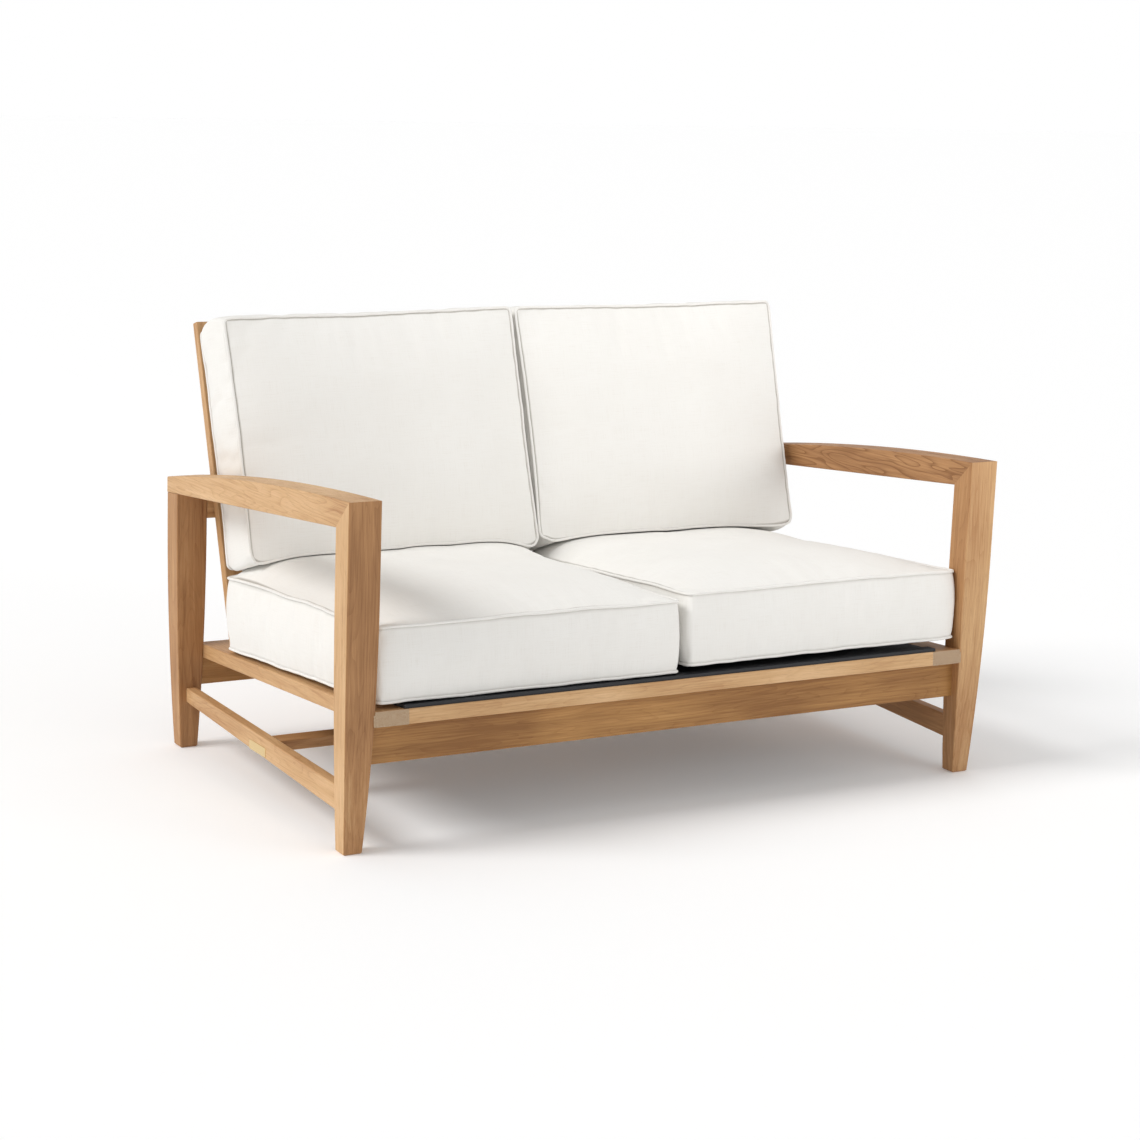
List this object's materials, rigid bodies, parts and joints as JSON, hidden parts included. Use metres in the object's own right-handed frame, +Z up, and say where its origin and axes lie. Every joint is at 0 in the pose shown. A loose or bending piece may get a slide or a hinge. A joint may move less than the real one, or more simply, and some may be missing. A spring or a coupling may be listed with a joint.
{
  "type": "patio loveseat",
  "caption": "Solid-wood outdoor loveseat with arched mitred arms, curved tapered legs, a leaning slatted back, a mesh seat sling and loose boxed canvas cushions that lift off.",
  "frame": {"origin": "middle of the footprint on the floor, below the middle of the bounding box", "axes": "+X to the right as seen from the front, front towards -Y, +Z up"},
  "size_m": [1.42, 0.901, 0.8747],
  "materials": {
    "teak": "oiled or clear-finished straight-grained teak, satin",
    "tenon_wood": "plain sawn hardwood, hidden inside the joints",
    "sling_mesh": "dark charcoal coated mesh, matt",
    "dark_batten": "dark charcoal, matt",
    "canvas": "warm white woven outdoor canvas, matt"
  },
  "bodies": {
    "frame": {"apron_tenons": "tenon_wood", "arm_tenons": "tenon_wood", "armrest_left": "teak", "armrest_right": "teak", "back_bottom_rail": "teak", "back_centre_stile": "teak", "back_slat_01": "teak", "back_slat_02": "teak", "back_slat_03": "teak", "back_slat_04": "teak", "back_slat_05": "teak", "back_slat_06": "teak", "back_slat_07": "teak", "back_slat_08": "teak", "back_slat_09": "teak", "back_slat_10": "teak", "back_stile_left": "teak", "back_stile_right": "teak", "back_tenons": "tenon_wood", "back_top_rail": "teak", "centre_stretcher": "teak", "deck_tenons": "tenon_wood", "front_apron": "teak", "front_leg_left": "teak", "front_leg_right": "teak", "lean_rail_tenons": "tenon_wood", "rear_apron": "teak", "rear_arm_rail": "teak", "rear_leg_left": "teak", "rear_leg_right": "teak", "seat_back_rail": "teak", "seat_centre_rail": "teak", "seat_front_rail": "teak", "seat_rear_rail": "teak", "seat_side_rail_left": "teak", "seat_side_rail_right": "teak", "seat_sling": "sling_mesh", "side_stretcher_left": "teak", "side_stretcher_right": "teak", "sling_batten_front": "dark_batten", "sling_batten_rear": "dark_batten", "stretcher_tenons": "tenon_wood"},
    "seat_cushion_left": {"seat_cushion_left": "canvas"},
    "seat_cushion_right": {"seat_cushion_right": "canvas"},
    "back_cushion_left": {"back_cushion_left": "canvas"},
    "back_cushion_right": {"back_cushion_right": "canvas"}
  },
  "joints": [
    {"name": "seat_cushion_left_lift", "type": "slide", "parent": "frame", "child": "seat_cushion_left", "axis": [0, 0, 1], "range_m": [0, 0.42]},
    {"name": "back_cushion_left_lift", "type": "slide", "parent": "seat_cushion_left", "child": "back_cushion_left", "axis": [0, 0, 1], "range_m": [0, 0.5]},
    {"name": "seat_cushion_right_lift", "type": "slide", "parent": "frame", "child": "seat_cushion_right", "axis": [0, 0, 1], "range_m": [0, 0.42]},
    {"name": "back_cushion_right_lift", "type": "slide", "parent": "seat_cushion_right", "child": "back_cushion_right", "axis": [0, 0, 1], "range_m": [0, 0.5]}
  ]
}
